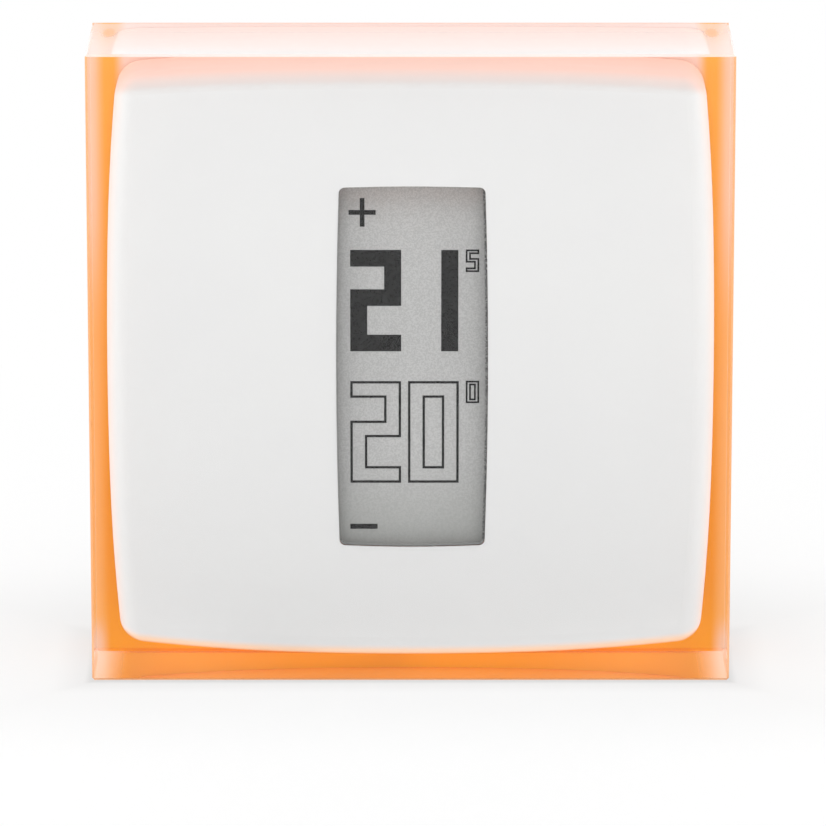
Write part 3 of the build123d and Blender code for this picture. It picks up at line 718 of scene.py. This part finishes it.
# %% Controller
chip_low, chip_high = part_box("microcontroller")
chip_x, chip_z = (chip_low[0] + chip_high[0]) / 2, (chip_low[2] + chip_high[2]) / 2
leg_length, mark_inset, mark_radius = 0.0005, 0.0009, 0.0004
body_half = (chip_high[0] - chip_low[0]) / 2 - leg_length
mark_out = body_half - mark_inset
chip, wire, place = new_finish("controller")
x, _, z = split(place)
out_x, out_z = x - chip_x, z - chip_z
leg = (abs(out_x) | abs(out_z)) > body_half + 0.00001
mark = distance(out_x + mark_out, out_z - mark_out) < mark_radius
grain = speckle(place, 4200, 3.0)
tone = mark.blend(black_epoxy(place), rgb(60, 60, 62))
tone = leg.blend(tone, rgb(196, 196, 194))
rough = grain * 0.2 + 0.5 - leg * 0.25 - mark * 0.2
surface(wire, Base_Color=tone, Metallic=leg, Roughness=rough, Normal=bump(grain, 0.2, 0.00003))
wear(chip, "microcontroller")
print("controller at", round(chip_x, 5), round(chip_z, 5))

# %% [markdown]
# ## Display stack
# Under the paper lie its glass with a dark backing, a foam pad that takes up play, and the ribbon that
# carries its signals: amber film with copper tracks along its length. Foam is small cells, which Voronoi
# gives; the tracks are again a folded coordinate, here across the ribbon.

# %% Display stack
backing, wire, place = new_finish("display backing")
tone = speckle(place, 700).blend(rgb(58, 62, 64), rgb(76, 80, 82))
surface(wire, Base_Color=tone, Roughness=speckle(place, 1500) * 0.15 + 0.1, Coat_Weight=0.6)
wear(backing, "display_glass")

foam, wire, place = new_finish("foam")
cell = wire.node("ShaderNodeTexVoronoi", {}, {"Vector": place, "Scale": 3000.0}, "Distance")
tone = cell.ramp(0.2, 0.7).blend(rgb(40, 41, 43), rgb(66, 67, 70))
surface(wire, Base_Color=tone, Roughness=0.95, Normal=bump(cell, 0.6, 0.0001))
wear(foam, "display_pad")

ribbon_pitch = 0.0005
ribbon, wire, place = new_finish("amber ribbon")
_, _, z = split(place)
track = 1 - z.fold(ribbon_pitch / 2).ramp(0.00008, 0.00012)
amber = speckle(place, 900).blend(rgb(176, 96, 22), rgb(200, 120, 36))
tone = track.blend(amber, rgb(150, 72, 18))
surface(wire, Base_Color=tone, Roughness=0.35 - track * 0.1, Normal=bump(track, 0.3, 0.00002))
wear(ribbon, "display_ribbon")

# %% [markdown]
# ## Antenna and capacitors
# The antenna is a bar of white ceramic with silvered ends. Each capacitor is an aluminium can on a black
# foot, with a black segment on its top that marks one of its legs.

# %% Antenna and capacitors
bar_low, bar_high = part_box("radio_antenna")
bar_x = (bar_low[0] + bar_high[0]) / 2
bare_share = 0.8
ceramic, wire, place = new_finish("antenna ceramic")
x, _, _ = split(place)
silver = abs(x - bar_x) > (bar_high[0] - bar_x) * bare_share
fired = speckle(place, 1800, 3.0)
tone = silver.blend(fired.blend(rgb(232, 230, 224), rgb(244, 242, 238)), rgb(198, 196, 190))
surface(wire, Base_Color=tone, Metallic=silver, Roughness=fired * 0.2 + 0.25)
wear(ceramic, "radio_antenna")

can_low, can_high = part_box("capacitors")
can_x = (can_low[0] + can_high[0]) / 2
foot_height, segment_edge = 0.0008, -0.0012
can, wire, place = new_finish("capacitor can")
x, y, _ = split(place)
_, facing_y, _ = facing(place)
foot = y < can_low[1] + foot_height
segment = (facing_y > 0.8) * ((x - can_x) < segment_edge)
dark = foot | segment
drawn = speckle(squeezed(place, (1, 0.1, 1)), 1200)
tone = dark.blend(drawn.blend(rgb(176, 178, 180), rgb(212, 214, 216)), rgb(24, 24, 26))
surface(wire, Base_Color=tone, Metallic=1 - dark, Roughness=drawn * 0.15 + 0.25)
wear(can, "capacitors")

# %% [markdown]
# ## Batteries
# Each cell is a steel can in a printed sleeve that leaves both ends bare. The sleeve is plain slate with
# one silver band towards the end with the nub, so that the way it lies can be seen. The middle cell lies
# the other way round, so the nub is found first: it is the end whose points are near the axis.

# %% Batteries
sleeve_start, sleeve_end = 0.012, 0.962
thin_band, wide_band = (0.715, 0.725), (0.74, 0.9)


def find_nub(name):
    """Where the end with the nub and the flat end lie along X."""
    low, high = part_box(name)
    mid_y, mid_z = (low[1] + high[1]) / 2, (low[2] + high[2]) / 2
    points = [point.co for point in nodes[name].data.vertices]
    spread = {}
    for end in (low[0], high[0]):
        spread[end] = max(hypot(p.y - mid_y, p.z - mid_z) for p in points if abs(p.x - end) < 0.0001)
    return sorted(spread, key=spread.get)


def sleeve(name):
    nub, flat = find_nub(name)
    material, wire, place = new_finish(name + " sleeve")
    x, _, _ = split(place)
    along = (x - flat) / (nub - flat)
    facing_x, _, _ = facing(place)
    bare = (along < sleeve_start) | (along > sleeve_end) | (abs(facing_x) > 0.7)
    wide = (along > wide_band[0]) * (along < wide_band[1])
    band = wide | (along > thin_band[0]) * (along < thin_band[1])
    tone = speckle(place, 1500).blend(rgb(44, 58, 76), rgb(54, 70, 90))
    tone = band.blend(tone, rgb(190, 192, 194))
    tone = bare.blend(tone, rgb(176, 176, 174))
    scuff = speckle(place, 220, 4.0)
    relief = bump(scuff, 0.1, 0.00003)
    surface(wire, Base_Color=tone, Metallic=bare | band * 0.7, Roughness=scuff * 0.3 + 0.2, Normal=relief)
    wear(material, name)
    print("nub at x =", round(nub, 4))


for name in ("battery_top", "battery_middle", "battery_bottom"):
    sleeve(name)
